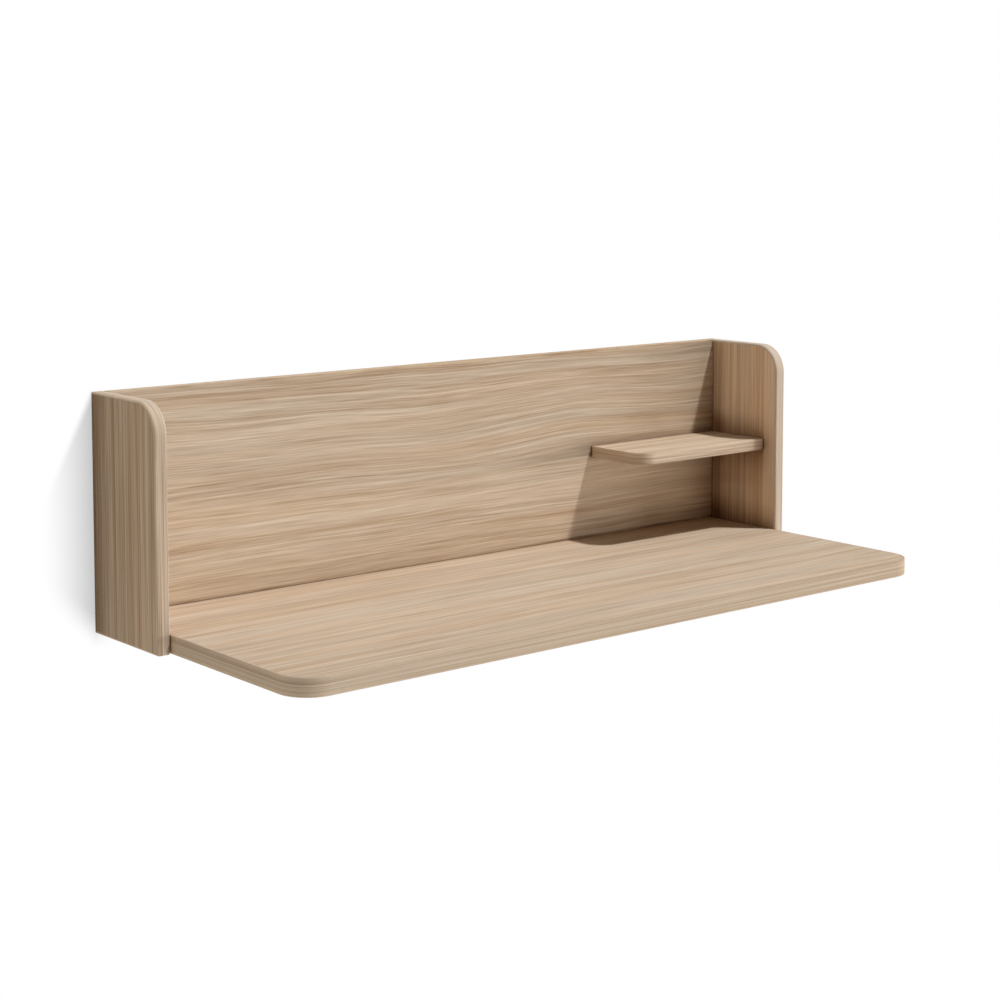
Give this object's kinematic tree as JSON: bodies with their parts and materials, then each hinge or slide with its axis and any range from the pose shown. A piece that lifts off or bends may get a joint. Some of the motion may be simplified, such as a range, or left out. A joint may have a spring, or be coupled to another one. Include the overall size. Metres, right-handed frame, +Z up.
{
  "type": "fold down wall desk",
  "caption": "Wall-hung wooden desk: a shallow case with a fixed corner shelf, and a desktop that turns up between its ends to close the front.",
  "frame": {"origin": "middle of the wall rail's row of screw holes, on the wall's face", "axes": "+X to the right as one faces the desk, +Y into the wall, +Z up"},
  "size_m": [1.2, 0.472, 0.334],
  "materials": {
    "end_board": "pale oak look board face, satin, upright grain",
    "end_band": "pale oak look edge band, satin, grain along the edge",
    "back_board": "pale oak look board face, satin, level grain",
    "back_band": "pale oak look edge band, satin, grain along the edge",
    "shelf_board": "pale oak look board face, satin, level grain",
    "shelf_band": "pale oak look edge band, satin, grain along the edge",
    "desk_board": "pale oak look board face, satin, level grain",
    "desk_band": "pale oak look edge band, satin, grain along the edge",
    "beech": "plain turned beech",
    "cam_zinc": "dull die-cast zinc",
    "bolt_steel": "zinc-plated steel",
    "pin_steel": "ground steel",
    "socket_brass": "turned brass",
    "bush_plastic": "natural nylon",
    "rail_steel": "galvanised sheet steel",
    "black_rubber": "matt moulded rubber",
    "cap_plastic": "matt oak-coloured plastic",
    "strip_plastic": "matt dark brown plastic"
  },
  "bodies": {
    "case": {"left_side_panel": "end_board", "right_side_panel": "end_board", "left_side_band": "end_band", "right_side_band": "end_band", "back_panel": "back_board", "back_panel_top_band": "back_band", "back_panel_bottom_band": "back_band", "shelf": "shelf_board", "shelf_band": "shelf_band", "back_panel_dowels": "beech", "shelf_dowels": "beech", "back_panel_cams": "cam_zinc", "shelf_cams": "cam_zinc", "back_panel_cam_bolts": "bolt_steel", "shelf_cam_bolts": "bolt_steel", "hanging_rail_screws": "bolt_steel", "left_pivot_bush": "bush_plastic", "right_pivot_bush": "bush_plastic", "wall_rail": "rail_steel", "hanging_rail": "rail_steel", "desktop_stop_pads": "black_rubber", "wall_spacers": "black_rubber", "shelf_cam_caps": "cap_plastic", "shelf_spacer_strips": "strip_plastic"},
    "desk_leaf": {"desktop": "desk_board", "desktop_band": "desk_band", "left_pivot_pin": "pin_steel", "right_pivot_pin": "pin_steel", "left_pivot_socket": "socket_brass", "right_pivot_socket": "socket_brass"}
  },
  "joints": [
    {"name": "desktop_fold", "type": "hinge", "parent": "case", "child": "desk_leaf", "pos_m": [0, -0.158, -0.227], "axis": [-1, 0, 0], "range_deg": [0, 90]}
  ]
}
